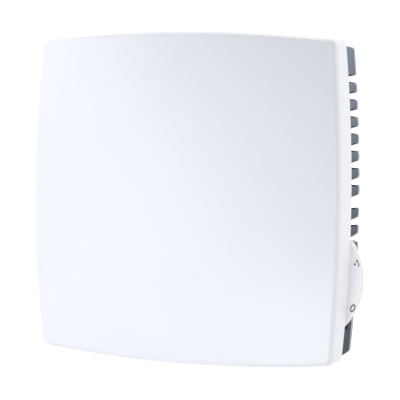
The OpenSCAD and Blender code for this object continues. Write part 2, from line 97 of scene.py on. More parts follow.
def add_node(tree, kind, settings=None, inputs=None):
    """A node with its settings, and with each input given a value or linked to a socket."""
    node = tree.nodes.new(kind)
    for key, value in (settings or {}).items():
        setattr(node, key, value)
    for key, value in (inputs or {}).items():
        if isinstance(value, bpy.types.NodeSocket):
            tree.links.new(value, node.inputs[key])
        else:
            node.inputs[key].default_value = value
    return node


scene.view_settings.view_transform = "Standard"
surround = bpy.data.worlds.new("surround")
scene.world = surround
surround.use_nodes = True
sky = surround.node_tree
sky.nodes.clear()
sky_way = add_node(sky, "ShaderNodeTexCoord")
sky_split = add_node(sky, "ShaderNodeSeparateXYZ", inputs={"Vector": sky_way.outputs["Generated"]})
sky_share = add_node(sky, "ShaderNodeMapRange", {"interpolation_type": "SMOOTHSTEP"}, {
    "Value": sky_split.outputs["Y"], "From Min": -0.9, "From Max": 0.15})
sky_mix = add_node(sky, "ShaderNodeMix", {"data_type": "RGBA"}, {
    "Factor": sky_share.outputs["Result"], "A": linear("#8F9196"), "B": linear("#FFFFFF")})
sky_light = add_node(sky, "ShaderNodeBackground", inputs={
    "Color": sky_mix.outputs["Result"], "Strength": 1.03})
add_node(sky, "ShaderNodeOutputWorld", inputs={"Surface": sky_light.outputs["Background"]})


def soft_lamp(name, place, aim, size, power, colour):
    """A round area lamp that the camera does not see, size millimetres across."""
    lamp = bpy.data.objects.new(name, bpy.data.lights.new(name, "AREA"))
    scene.collection.objects.link(lamp)
    lamp.data.shape = "DISK"
    lamp.data.size = size * MM
    lamp.data.energy = power
    lamp.data.color = linear(colour)[:3]
    lamp.location = place
    lamp.rotation_mode = "QUATERNION"
    lamp.rotation_quaternion = (aim - place).to_track_quat("-Z", "Y")
    lamp.visible_camera = False
    return lamp


unit_middle = at(0, 0, 20)
# Place, width across and power in watts.
FACE_LAMPS = (
    (at(-84, 5, 172), 80, 0.027),
    (at(-100, 88, 90), 60, 0.0225),
    (at(-120, 60, 150), 80, 0.031),
    (at(-40, 20, 250), 90, 0.027),
    (at(-200, -100, 200), 100, 0.072),
    (at(15, -80, 160), 60, 0.06),
    (at(-60, -60, 180), 80, 0.018),
)
for number, (place, size, power) in enumerate(FACE_LAMPS, 1):
    soft_lamp(f"face_lamp_{number}", place, unit_middle, size, power, "#FBFCFF")
soft_lamp("right_lamp", at(170, 60, 50), at(47, 0, 20), 60, 0.024, "#FFFFFF")
soft_lamp("edge_lamp", at(180, -80, 110), at(47, -20, 26), 50, 0.018, "#FFFFFF")
soft_lamp("top_lamp", at(0, 190, 0), at(0, 47, 24), 50, 0.045, "#FFFFFF")


# --- Front cover ----------------------------------------------------------------------
# A one-piece ABS moulding: a shallow dome with four bowed sides, a small radius all round
# its face and a plain side wall, held in the housing by four snap tongues.
def new_material(name):
    material = bpy.data.materials.new(name)
    material.use_nodes = True
    material.node_tree.nodes.clear()
    return material, material.node_tree


def finish_material(tree, colour, rough, bump=None, **rest):
    """Ends a tree in one Principled shader. rest names further inputs and their values."""
    inputs = {"Base Color": colour, "Roughness": rough}
    if bump is not None:
        inputs["Normal"] = bump
    inputs.update({key.replace("_", " "): value for key, value in rest.items()})
    shader = add_node(tree, "ShaderNodeBsdfPrincipled", inputs=inputs)
    add_node(tree, "ShaderNodeOutputMaterial", inputs={"Surface": shader.outputs["BSDF"]})


def grain(tree, size, detail=3.0):
    """Noise with patches of about size millimetres, fixed to the piece."""
    where = add_node(tree, "ShaderNodeTexCoord")
    return add_node(tree, "ShaderNodeTexNoise", inputs={
        "Vector": where.outputs["Object"], "Scale": 1 / (size * MM), "Detail": detail})


def moulded_plastic(name, light, dark, rough, ior, grain_size, depth, patch=18):
    """A moulded thermoplastic: two near tones in large patches, uneven gloss, fine grain."""
    material, tree = new_material(name)
    patches = grain(tree, patch, 2.0)
    tone = add_node(tree, "ShaderNodeMix", {"data_type": "RGBA"}, {
        "Factor": patches.outputs["Fac"], "A": linear(light), "B": linear(dark)})
    fine = grain(tree, grain_size)
    gloss = add_node(tree, "ShaderNodeMapRange", inputs={
        "Value": fine.outputs["Fac"], "To Min": rough - 0.04, "To Max": rough + 0.05})
    relief = add_node(tree, "ShaderNodeBump", inputs={
        "Height": fine.outputs["Fac"], "Strength": 0.25, "Distance": depth * MM})
    finish_material(tree, tone.outputs["Result"], gloss.outputs["Result"],
                    relief.outputs["Normal"], IOR=ior)
    return material


# Moulded in a finely spark-eroded tool, so the white mirrors light softly. The real grain is
# about 0.15 mm. It is drawn at 0.3 mm, so that it shows up close.
white_abs = moulded_plastic("satin_white_abs", "#F0F1F4", "#EDEFF2", 0.36, 1.53, 0.3, 0.012)

housing_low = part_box("rear_housing")[0]
cover_low, cover_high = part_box("front_cover")
HALF = cover_high.x / MM
DEPTH = -cover_low.y / MM
HOUSING_DEPTH = -housing_low.y / MM
TONGUE_END = -cover_high.y / MM
RIM_GAP = 0.15
WALL = 2.0
BOW = 2.3
CORNER_R = 2.5
EDGE_R = 1.4
DOME_R = 565.0
RIM_EASE = 0.25

chord = HALF - BOW
side_r = (chord * chord + BOW * BOW) / (2 * BOW)
arc_c = side_r - HALF
corner_q = side_r - CORNER_R
corner_c = (-arc_c + math.sqrt(2 * corner_q ** 2 - arc_c ** 2)) / 2


def dome(x, y, drop=0.0):
    """How far the domed face, or a surface drop behind it, stands out from the wall."""
    return DEPTH - DOME_R + math.sqrt((DOME_R - drop) ** 2 - x * x - y * y)


def casing_outline(inset, side_steps=36, corner_steps=8):
    """One turn of the casing's outline, moved inwards, from the lower right corner upwards."""
    if inset < CORNER_R:
        end = math.asin(corner_c / corner_q)
    else:
        end = math.acos(arc_c / ((side_r - inset) * math.sqrt(2))) - math.pi / 4
    r_side, r_corner = side_r - inset, max(CORNER_R - inset, 0.02)
    quarter = []
    for i in range(side_steps + 1):
        a = end * (2 * i / side_steps - 1)
        quarter.append((r_side * math.cos(a) - arc_c, r_side * math.sin(a)))
    for i in range(1, corner_steps):
        a = end + (math.pi / 2 - 2 * end) * i / corner_steps
        quarter.append((corner_c + r_corner * math.cos(a), corner_c + r_corner * math.sin(a)))
    turns = [quarter]
    for _ in range(3):
        turns.append([(-y, x) for x, y in turns[-1]])
    return [p for turn in turns for p in turn]


def bridge(bm, rings):
    """Faces between neighbouring rings of vertices. Each ring is closed."""
    for low, high in zip(rings, rings[1:]):
        for i in range(len(low)):
            j = (i + 1) % len(low)
            bm.faces.new((low[i], low[j], high[j], high[i]))


def cap(bm, ring, centre):
    """A fan of faces that closes a ring."""
    middle = bm.verts.new(centre)
    for i in range(len(ring)):
        bm.faces.new((ring[i], ring[(i + 1) % len(ring)], middle))


def add_box(bm, low, high, ease=0.0):
    """A box between two corners given as (x, up, out), with its edges eased."""
    made = bmesh.ops.create_cube(bm, size=1)["verts"]
    for v in made:
        share = v.co + Vector((0.5, 0.5, 0.5))
        v.co = at(*[low[k] + share[k] * (high[k] - low[k]) for k in range(3)])
    edges = list({e for v in made for e in v.link_edges})
    bmesh.ops.recalc_face_normals(bm, faces=list({f for v in made for f in v.link_faces}))
    if ease:
        bmesh.ops.bevel(bm, geom=edges, offset=ease * MM, segments=2, affect="EDGES", profile=0.5)


def shade(mesh):
    """Shades a mesh smooth except at real edges."""
    mesh.shade_smooth()
    mesh.set_sharp_from_angle(angle=math.radians(40))


def make_piece(name, bm, material):
    """A piece from a bmesh, at the origin."""
    mesh = bpy.data.meshes.new(name)
    bm.to_mesh(mesh)
    bm.free()
    piece = bpy.data.objects.new(name, mesh)
    scene.collection.objects.link(piece)
    mesh.materials.append(material)
    shade(mesh)
    return piece


def settle(piece, body, slot, *nodes):
    """Fixes a finished piece to its body and hides the CAD nodes it stands for. The slot argument is not
    used.
    """
    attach(piece, body)
    if nodes:
        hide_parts(*nodes)


cover_rim = HOUSING_DEPTH + RIM_GAP
cover = bmesh.new()
rings = []


def ring_at(points, outs):
    """Adds a ring of the cover's vertices at points, each as far out from the wall as outs says."""
    rings.append([cover.verts.new(at(x, y, out)) for (x, y), out in zip(points, outs)])


face_edge = casing_outline(EDGE_R)
edge_steps = 10
for i in range(5):
    a = math.pi / 2 * i / 4
    points = casing_outline(RIM_EASE * (1 - math.sin(a)))
    ring_at(points, [cover_rim + RIM_EASE * (1 - math.cos(a))] * len(points))
for i in range(edge_steps + 1):
    a = math.pi / 2 * i / edge_steps
    points = casing_outline(EDGE_R * (1 - math.cos(a)))
    ring_at(points, [dome(*q) - EDGE_R * (1 - math.sin(a)) for q in face_edge])
face_shares = [0.985, 0.96, 0.92, 0.86, 0.78, 0.68, 0.57, 0.45, 0.33, 0.21, 0.1]
for share in face_shares:
    points = [(x * share, y * share) for x, y in face_edge]
    ring_at(points, [dome(*p) for p in points])
bridge(cover, rings)
cap(cover, rings[-1], at(0, 0, DEPTH))
outer_rim = rings[0]
rings = []
inner_edge = casing_outline(WALL)
inner_r = 0.8
ring_at(inner_edge, [cover_rim] * len(inner_edge))
for i in range(5):
    a = math.pi / 2 * i / 4
    points = casing_outline(WALL + inner_r * (1 - math.cos(a)))
    ring_at(points, [dome(*p, WALL) - inner_r * (1 - math.sin(a)) for p in points])
for share in (0.9, 0.75, 0.5, 0.25):
    points = [(x * share, y * share) for x, y in casing_outline(WALL + inner_r)]
    ring_at(points, [dome(*p, WALL) for p in points])
bridge(cover, rings)
cap(cover, rings[-1], at(0, 0, DEPTH - WALL))
bridge(cover, [outer_rim, rings[0]])
bmesh.ops.recalc_face_normals(cover, faces=cover.faces)

# Each tongue hangs from a root block behind the face, and carries a narrower snap bead.
tongue_x, tongue_w, tongue_t = 19, 12, 1.4
tongue_face = HALF - WALL - 1.2
root_end = cover_rim + 4
bead_inset, bead_low, bead_high = 2, 12.6, 13.4
for up in (1, -1):
    for side in (-1, 1):
        left, far = side * tongue_x - tongue_w / 2, side * tongue_x + tongue_w / 2
        for inset, y0, y1, z0, z1 in (
                (0, tongue_face - tongue_t, tongue_face, TONGUE_END, root_end),
                (0, tongue_face - 0.1, HALF - WALL + 0.6, cover_rim + 0.2, root_end),
                (bead_inset, tongue_face - 0.3, tongue_face + 0.22, bead_low, bead_high)):
            ends = sorted((up * y0, up * y1))
            add_box(cover, (left + inset, ends[0], z0), (far - inset, ends[1], z1), 0.2)

# A small index tick moulded on the right side wall, where the wheel's scale is read.
index_y, index_w, index_proud = -16.9, 0.6, 0.12
index_x = math.sqrt(side_r ** 2 - index_y ** 2) - arc_c
add_box(cover, (index_x - 0.3, index_y - index_w / 2, cover_rim + 0.3),
        (index_x + index_proud, index_y + index_w / 2, cover_rim + 1.8), 0.1)
cover_shell = make_piece("cover_shell", cover, white_abs)
settle(cover_shell, "cover", "casing_white", "front_cover")


# --- Rear housing ---------------------------------------------------------------------
# The other half of the casing, moulded in the same white ABS: a wall plate with a four-sided
# wall, whose left and right sides are open combs that let the room's air through.
SLOT_H = 3.55
SLOT_TAPER = 0.8
SLOT_PITCH = 4.83
MIDDLE_RIB = 2.9
LONG_SLOT_H = 8.8
SLOT_DEPTH = 7.7
SLOT_R = 0.9
LIP_R = 0.3
PLATE = 2.0
COMB = 7

side_end = math.asin(corner_c / corner_q)
straight_end = side_r * math.sin(side_end)
quarter_half = straight_end + CORNER_R * (math.pi / 4 - side_end)


def on_ring(s, t, z):
    """A point on the casing's wall: s along the outline, t in from its outside, z from the wall."""
    turn, local = divmod(s, 2 * quarter_half)
    local -= quarter_half
    if abs(local) <= straight_end:
        a = math.asin(local / side_r)
        x, y = side_r * math.cos(a) - arc_c, local
    else:
        a = side_end + (abs(local) - straight_end) / CORNER_R
        x, y = corner_c + CORNER_R * math.cos(a), corner_c + CORNER_R * math.sin(a)
        if local < 0:
            a, y = -a, -y
    x, y = x - t * math.cos(a), y - t * math.sin(a)
    for _ in range(int(turn) % 4):
        x, y = -y, x
    return at(x, y, z)


def fillet(corner, before, after, radius, steps):
    """Points of a rounded corner between two edges that leave it towards before and after."""
    corner, before, after = Vector(corner), Vector(before), Vector(after)
    to_a, to_b = (before - corner).normalized(), (after - corner).normalized()
    half_angle = to_a.angle(to_b) / 2
    reach = radius / math.tan(half_angle)
    middle = corner + (to_a + to_b).normalized() * (radius / math.sin(half_angle))
    start, end = corner + to_a * reach - middle, corner + to_b * reach - middle
    sweep = start.angle_signed(end)
    points = []
    for i in range(steps + 1):
        a = -sweep * i / steps
        points.append((
            middle.x + start.x * math.cos(a) - start.y * math.sin(a),
            middle.y + start.x * math.sin(a) + start.y * math.cos(a)))
    return points


def comb_notch(y0, y1):
    """A notch in the wall's flat pattern, from its upper lip down and back: (s, z) points."""
    floor_z = HOUSING_DEPTH - SLOT_DEPTH
    r0, r1 = y0 + SLOT_TAPER / 2, y1 - SLOT_TAPER / 2
    corners = [(y1, HOUSING_DEPTH, LIP_R, 2), (r1, floor_z, SLOT_R, 5), (r0, floor_z, SLOT_R, 5),
               (y0, HOUSING_DEPTH, LIP_R, 2)]
    guides = [(y1 + 5, HOUSING_DEPTH)] + [corner[:2] for corner in corners]
    guides.append((y0 - 5, HOUSING_DEPTH))
    points = []
    for i, (y, z, r, steps) in enumerate(corners):
        points += fillet((y, z), guides[i], guides[i + 2], r, steps)
    return points


first_slot = (MIDDLE_RIB + SLOT_H) / 2
slot_middles = [first_slot + i * SLOT_PITCH for i in range(COMB)]
short_slots = [(m - SLOT_H / 2, m + SLOT_H / 2) for m in slot_middles]
long_start = short_slots[-1][1] + SLOT_PITCH - SLOT_H
long_slot = (long_start, long_start + LONG_SLOT_H)
mirrored = [(-b, -a) for a, b in short_slots + [long_slot]]
wheel_notch = (-long_slot[1], -(first_slot + 2 * SLOT_PITCH - SLOT_H / 2))
right_slots = short_slots + [long_slot] + mirrored[:2] + [wheel_notch]
left_slots = short_slots + [long_slot] + mirrored

pattern = [(0, 0), (8 * quarter_half, 0), (8 * quarter_half, HOUSING_DEPTH)]
for turn, slots in ((2, left_slots), (0, right_slots)):
    for low, high in sorted(slots, reverse=True):
        pattern += [(y + (2 * turn + 1) * quarter_half, z) for y, z in comb_notch(low, high)]
pattern.append((0, HOUSING_DEPTH))

WALL_EASE = 0.16
housing = bmesh.new()
outer_face = housing.faces.new([housing.verts.new((s, 0, z)) for s, z in pattern])
inner_face = bmesh.ops.extrude_face_region(housing, geom=[outer_face])
for v in [g for g in inner_face["geom"] if isinstance(g, bmesh.types.BMVert)]:
    v.co.y = WALL
bmesh.ops.recalc_face_normals(housing, faces=housing.faces)
full_turn = 8 * quarter_half
eased = [e for e in housing.edges
         if abs(e.verts[0].co.y - e.verts[1].co.y) < 1e-6
         and not all(v.co.z < 1e-6 for v in e.verts)
         and not all(v.co.x < 1e-6 for v in e.verts)
         and not all(v.co.x > full_turn - 1e-6 for v in e.verts)]
bmesh.ops.bevel(housing, geom=eased, offset=WALL_EASE, segments=2, affect="EDGES",
                profile=0.5, clamp_overlap=True)
ends = [f for f in housing.faces
        if all(v.co.x < 1e-5 for v in f.verts) or all(v.co.x > full_turn - 1e-5 for v in f.verts)]
bmesh.ops.delete(housing, geom=ends, context="FACES_ONLY")
cuts = []
for turn in range(4):
    middle = (2 * turn + 1) * quarter_half
    cuts += [middle + straight_end * i / 20 for i in range(-20, 21)]
    cuts += [middle + side * (straight_end + (quarter_half - straight_end) * i / 4)
             for side in (-1, 1) for i in range(1, 5)]
for cut in sorted(set(round(c, 5) for c in cuts)):
    if 0.01 < cut < full_turn - 0.01:
        bmesh.ops.bisect_plane(housing, geom=housing.verts[:] + housing.edges[:] + housing.faces[:],
                               plane_co=(cut, 0, 0), plane_no=(1, 0, 0), dist=1e-5)
for cut in (HOUSING_DEPTH - SLOT_DEPTH - 0.6, 4.0):
    bmesh.ops.bisect_plane(housing, geom=housing.verts[:] + housing.edges[:] + housing.faces[:],
                           plane_co=(0, 0, cut), plane_no=(0, 0, 1), dist=1e-5)
for v in housing.verts:
    v.co = on_ring(min(max(v.co.x, 1e-7), full_turn - 1e-7), v.co.y, v.co.z)
bmesh.ops.remove_doubles(housing, verts=housing.verts, dist=0.001 * MM)
bmesh.ops.recalc_face_normals(housing, faces=housing.faces)
housing_wall = make_piece("housing_wall", housing, white_abs)


def bake(piece):
    """Turns what a piece's modifiers make into its plain mesh."""
    evaluated = piece.evaluated_get(bpy.context.evaluated_depsgraph_get())
    mesh = bpy.data.meshes.new_from_object(evaluated)
    piece.modifiers.clear()
    piece.data = mesh
    shade(mesh)


def trim(piece, cutter):
    """Cuts the cutter's solid out of a piece and clears the cutter away."""
    cut = piece.modifiers.new("trim", "BOOLEAN")
    cut.object, cut.operation, cut.solver = cutter, "DIFFERENCE", "EXACT"
    bake(piece)
    bpy.data.objects.remove(cutter)


def flat_plate(name, outlines, low, high, ease, material):
    """A plate cut to closed (x, up) outlines, the first one outermost, with eased edges."""
    curve = bpy.data.curves.new(name, "CURVE")
    curve.dimensions = "2D"
    curve.fill_mode = "BOTH"
    curve.extrude = ((high - low) / 2 - ease) * MM
    curve.bevel_depth = ease * MM
    curve.bevel_resolution = 1
    curve.offset = -ease * MM
    for points in outlines:
        spline = curve.splines.new("POLY")
        spline.points.add(len(points) - 1)
        for point, (x, y) in zip(spline.points, points):
            point.co = (x * MM, y * MM, 0, 1)
        spline.use_cyclic_u = True
    shape = bpy.data.objects.new(name, curve)
    scene.collection.objects.link(shape)
    mesh = bpy.data.meshes.new_from_object(shape)
    bpy.data.objects.remove(shape)
    upright = Matrix.Rotation(math.pi / 2, 4, "X")
    mesh.transform(Matrix.Translation(at(0, 0, (low + high) / 2)) @ upright)
    bm = bmesh.new()
    bm.from_mesh(mesh)
    bmesh.ops.remove_doubles(bm, verts=bm.verts, dist=0.001 * MM)
    bmesh.ops.recalc_face_normals(bm, faces=bm.faces)
    return make_piece(name, bm, material)


def round_hole(x, y, r, steps=20):
    """A circle as a closed outline."""
    return [(x + r * math.cos(2 * math.pi * i / steps), y + r * math.sin(2 * math.pi * i / steps))
            for i in range(steps)]


def rounded_box(x0, y0, x1, y1, r, steps=4):
    """A rectangle with rounded corners, as a closed outline."""
    points = []
    middles = ((x1 - r, y1 - r), (x0 + r, y1 - r), (x0 + r, y0 + r), (x1 - r, y0 + r))
    for k, (cx, cy) in enumerate(middles):
        for i in range(steps + 1):
            a = math.pi / 2 * (k + i / steps)
            points.append((cx + r * math.cos(a), cy + r * math.sin(a)))
    return points


SCREW_PITCH = 60
screw_slot_r, screw_slot_half = 2.1, 4
cable_hole = rounded_box(-12, -9, 12, 9, 0.8)
screw_slots = [
    rounded_box(-screw_slot_r, middle - screw_slot_half, screw_slot_r, middle + screw_slot_half,
                screw_slot_r - 0.01, 8) for middle in (SCREW_PITCH / 2, -SCREW_PITCH / 2)]
wall_plate = flat_plate("housing_plate", [casing_outline(WALL, 24, 4), cable_hole] + screw_slots,
                        0, PLATE, 0.12, white_abs)


def lathe(bm, profile, place, axis="out", steps=48):
    """Turns a closed profile of (radius, along) points about an axis through place.

    The axis is "out" of the wall or "x" to the right. A radius of 0 at an end closes on a point.
    """
    rings = []
    for radius, along in profile:
        count = 1 if radius < 1e-6 else steps
        ring = []
        for i in range(count):
            a = 2 * math.pi * i / steps
            p, q = radius * math.cos(a), radius * math.sin(a)
            x, y, z = place
            where = at(x + p, y + q, z + along) if axis == "out" else at(x + along, y + p, z + q)
            ring.append(bm.verts.new(where))
        rings.append(ring)
    pairs = list(zip(rings, rings[1:]))
    if profile[0][0] > 1e-6:
        pairs.append((rings[-1], rings[0]))
    made = []
    for low, high in pairs:
        for i in range(steps):
            j = (i + 1) % steps
            corners = list(dict.fromkeys((
                low[i % len(low)], low[j % len(low)], high[j % len(high)], high[i % len(high)])))
            if len(corners) > 2:
                made.append(bm.faces.new(corners))
    bmesh.ops.recalc_face_normals(bm, faces=made)


# The wheel turns in a room cut out of the wall's ribs.
WHEEL_X, WHEEL_Y = 30.8, -22.0
HUB_BACK = 12.2
WHEEL_R = 19.8
room_r = WHEEL_R + 0.3
wheel_room = bmesh.new()
lathe(wheel_room, [(0, HUB_BACK), (room_r, HUB_BACK), (room_r, HOUSING_DEPTH + 1),
                   (0, HOUSING_DEPTH + 1)], (WHEEL_X, WHEEL_Y, 0), steps=120)
trim(housing_wall, make_piece("wheel_room", wheel_room, white_abs))

# Bosses for the board's screws, two tall ribs with a cross rib, and a collar round the cable.
BOARD_SCREWS = [(-35.5, -13.7), (-16, -37), (16, -37), (35.5, -13.7)]
BOSS_TOP = 5.0
fittings = bmesh.new()
for x, y in BOARD_SCREWS:
    lathe(fittings, [(1.35, PLATE - 0.5), (3.3, PLATE - 0.5), (3.3, PLATE), (3.12, PLATE + 0.1),
                     (3.0, PLATE + 0.35), (2.97, BOSS_TOP - 0.2), (2.8, BOSS_TOP), (1.5, BOSS_TOP),
                     (1.35, BOSS_TOP - 0.15)], (x, y, 0))
rib_root, rib_top, collar_top, rib_half = PLATE - 0.3, PLATE + 2.4, PLATE + 1.6, 0.6
ribs = [(side * 24, 27, rib_half, 13, rib_top) for side in (-1, 1)]
ribs.append((0, 20, 23.6, rib_half, rib_top))
for side in (-1, 1):
    ribs.append((0, side * 9.9, 14, rib_half, collar_top))
    ribs.append((side * 13.4, 0, rib_half, 9.6, collar_top))
for x, y, half_w, half_h, top in ribs:
    add_box(fittings, (x - half_w, y - half_h, rib_root), (x + half_w, y + half_h, top), 0.15)
housing_fittings = make_piece("housing_bosses_and_ribs", fittings, white_abs)
settle(housing_wall, "housing", "casing_white", "rear_housing")
settle(wall_plate, "housing", "casing_white")
settle(housing_fittings, "housing", "casing_white")


# --- Inner frame ----------------------------------------------------------------------
# A dark grey ABS frame, clipped in just behind the combs. Its slits stand behind their ribs,
# so that air passes but the board does not show. Four ears sit under the board's screws.
# Its dark grey is partly painted shade: it also stands for the deep shade inside the slots.
def eased_copy(name, node, ease, material, angle=30):
    """A copy of a CAD node: joined up, its flat faces whole again, and its hard edges eased."""
    bm = bmesh.new()
    bm.from_mesh(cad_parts[node].data)
    bm.transform(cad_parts[node].matrix_world)
    bmesh.ops.remove_doubles(bm, verts=bm.verts, dist=0.002 * MM)
    bmesh.ops.dissolve_limit(bm, angle_limit=math.radians(2), verts=bm.verts, edges=bm.edges)
    edges = [e for e in bm.edges
             if len(e.link_faces) == 2 and e.calc_face_angle(0) > math.radians(angle)]
    bmesh.ops.bevel(bm, geom=edges, offset=ease * MM, segments=2, affect="EDGES", profile=0.5,
                    clamp_overlap=True)
    bmesh.ops.recalc_face_normals(bm, faces=bm.faces)
    return make_piece(name, bm, material)


# A matt blue-grey with hardly any gloss. Its dark tone is the frame's own grey and also painted shade for
# the deep shade behind the slots.
shade_dark_abs = moulded_plastic("slate_grey_abs", "#343941", "#31353D", 0.62, 1.26, 0.3, 0.012)
louvre_frame = eased_copy("louvre_frame", "inner_frame", 0.12, shade_dark_abs)
settle(louvre_frame, "housing", "frame_dark", "inner_frame")


# --- Set-point wheel ------------------------------------------------------------------
# A white ABS disc pushed on the potentiometer's D-shaft and held by a small screw. Its rim is
# knurled for the fingertip, and its face is tampon-printed with a scale from -3 to +3.
WHEEL_TOP, WHEEL_BACK = 15.4, 12.6
# The same ABS from a smoother tool, so the disc is a little glossier than the casing.
wheel_abs = moulded_plastic("polished_white_abs", "#EDEEF0", "#E9EBEE", 0.28, 1.53, 0.3, 0.006)
KNURL_H = 0.14
body_r = WHEEL_R - KNURL_H
wheel = bmesh.new()
lathe(wheel, [
    (3.0, WHEEL_TOP - 0.3), (3.0, WHEEL_TOP - 0.08), (3.08, WHEEL_TOP), (body_r - 0.25, WHEEL_TOP),
    (body_r - 0.12, WHEEL_TOP - 0.03), (body_r - 0.03, WHEEL_TOP - 0.12), (body_r, WHEEL_TOP - 0.25),
    (body_r, WHEEL_BACK + 0.4), (body_r - 0.1, WHEEL_BACK + 0.12), (body_r - 0.4, WHEEL_BACK),
    (17.75, WHEEL_BACK), (17.6, WHEEL_BACK + 0.15), (17.6, WHEEL_BACK + 1.05), (17.45, WHEEL_BACK + 1.2),
    (6.3, WHEEL_BACK + 1.2), (6.0, WHEEL_BACK + 0.9), (6.0, WHEEL_BACK + 0.1), (5.9, WHEEL_BACK),
    (4.6, WHEEL_BACK), (4.5, WHEEL_BACK - 0.1), (4.5, HUB_BACK + 0.12), (4.38, HUB_BACK),
    (1.6, HUB_BACK), (1.5, HUB_BACK + 0.1), (1.5, WHEEL_TOP - 0.3)],
    (WHEEL_X, WHEEL_Y, 0), steps=180)
for k in range(6):
    a = math.radians(15 + 60 * k)
    along, across = Vector((math.cos(a), math.sin(a))), Vector((-math.sin(a), math.cos(a)))
    before = len(wheel.verts)
    add_box(wheel, (5.9, -0.5, WHEEL_BACK + 0.1), (17.7, 0.5, WHEEL_BACK + 1.3), 0.12)
    wheel.verts.ensure_lookup_table()
    for v in wheel.verts[before:]:
        p = along * (v.co.x / MM) + across * (v.co.z / MM)
        v.co = at(WHEEL_X + p.x, WHEEL_Y + p.y, -v.co.y / MM)
wheel_disc = make_piece("wheel_disc", wheel, wheel_abs)
settle(wheel_disc, "wheel", "casing_white", "setpoint_wheel")


def new_node_tree(name, **kinds):
    """A Geometry Nodes tree with one geometry output and named inputs, and its input node."""
    tree = bpy.data.node_groups.new(name, "GeometryNodeTree")
    tree.interface.new_socket("Geometry", in_out="OUTPUT", socket_type="NodeSocketGeometry")
    for label, kind in kinds.items():
        tree.interface.new_socket(label, in_out="INPUT", socket_type=f"NodeSocket{kind}")
    return tree, tree.nodes.new("NodeGroupInput")


def grow(carrier, tree, copies, material, **values):
    """Ends a tree in real, painted copies, gives its inputs their values and bakes the carrier."""
    real = add_node(tree, "GeometryNodeRealizeInstances", inputs={"Geometry": copies})
    painted = add_node(tree, "GeometryNodeSetMaterial", inputs={
        "Geometry": real.outputs["Geometry"], "Material": material})
    end = tree.nodes.new("NodeGroupOutput")
    tree.links.new(painted.outputs["Geometry"], end.inputs["Geometry"])
    modifier = carrier.modifiers.new(carrier.name, "NODES")
    modifier.node_group = tree
    for socket in tree.interface.items_tree:
        if socket.name in values:
            modifier[socket.identifier] = values[socket.name]
    bake(carrier)


def ring_of_ridges(name, ridge, count, centre, material):
    """Copies of a ridge set round a centre, as one plain mesh. The ridge is used up."""
    carrier = bpy.data.objects.new(name, bpy.data.meshes.new(name))
    scene.collection.objects.link(carrier)
    tree, source = new_node_tree(name, Count="Int", Centre="Vector", Ridge="Object", Material="Material")
    ring = add_node(tree, "GeometryNodeMeshCircle", inputs={
        "Vertices": source.outputs["Count"], "Radius": 0.000001})
    number = add_node(tree, "GeometryNodeInputIndex")
    turn = add_node(tree, "ShaderNodeMath", {"operation": "DIVIDE"}, {
        0: number.outputs[0], 1: source.outputs["Count"]})
    angle = add_node(tree, "ShaderNodeMath", {"operation": "MULTIPLY"}, {
        0: turn.outputs[0], 1: 2 * math.pi})
    euler = add_node(tree, "ShaderNodeCombineXYZ", inputs={"Y": angle.outputs[0]})
    item = add_node(tree, "GeometryNodeObjectInfo", inputs={"Object": source.outputs["Ridge"]})
    copies = add_node(tree, "GeometryNodeInstanceOnPoints", inputs={
        "Points": ring.outputs["Mesh"], "Instance": item.outputs["Geometry"],
        "Rotation": euler.outputs["Vector"]})
    moved = add_node(tree, "GeometryNodeTransform", inputs={
        "Geometry": copies.outputs["Instances"], "Translation": source.outputs["Centre"]})
    grow(carrier, tree, moved.outputs["Geometry"], source.outputs["Material"],
         Count=count, Centre=tuple(centre), Ridge=ridge, Material=material)
    bpy.data.objects.remove(ridge)
    return carrier


ridge = bmesh.new()
ridge_points = []
for out, drop in ((WHEEL_BACK + 0.3, 0.12), (WHEEL_BACK + 0.5, 0.0), (WHEEL_TOP - 0.55, 0.0),
                  (WHEEL_TOP - 0.3, 0.12)):
    ridge_points.append([ridge.verts.new(Vector((r * MM, -out * MM, w * MM))) for r, w in (
        (body_r - 0.25, -0.17), (body_r - 0.02, -0.17), (WHEEL_R - drop, -0.06), (WHEEL_R - drop, 0.06),
        (body_r - 0.02, 0.17), (body_r - 0.25, 0.17))])
bridge(ridge, ridge_points)
ridge.faces.new(ridge_points[0])
ridge.faces.new(ridge_points[-1])
bmesh.ops.recalc_face_normals(ridge, faces=ridge.faces)
ridge_seed = make_piece("ridge_seed", ridge, wheel_abs)
knurl = ring_of_ridges("wheel_knurl", ridge_seed, 200, at(WHEEL_X, WHEEL_Y, 0), wheel_abs)
settle(knurl, "wheel", "casing_white")

# A thin matt ink, a little uneven where the pad pressed it.
print_ink, ink_tree = new_material("grey_tampon_ink")
ink_noise = grain(ink_tree, 0.4)
ink_tone = add_node(ink_tree, "ShaderNodeMix", {"data_type": "RGBA"}, {
    "Factor": ink_noise.outputs["Fac"], "A": linear("#5C5F66"), "B": linear("#6B6E75")})
finish_material(ink_tree, ink_tone.outputs["Result"], 0.5)

# Half the width of a stroke, how much taller the figures are than drawn below, and the scale's
# step and place of "+1" in degrees.
INK_R = 0.19
FIGURE_STRETCH = 1.15
SCALE_STEP = 39.4
PLUS_ONE_AT = 15.0


def arc_points(cx, cy, rx, ry, start, end, steps=14):
    """Points of an elliptical arc from start to end, in degrees."""
    return [(cx + rx * math.cos(math.radians(start + (end - start) * i / steps)),
             cy + ry * math.sin(math.radians(start + (end - start) * i / steps)))
            for i in range(steps + 1)]


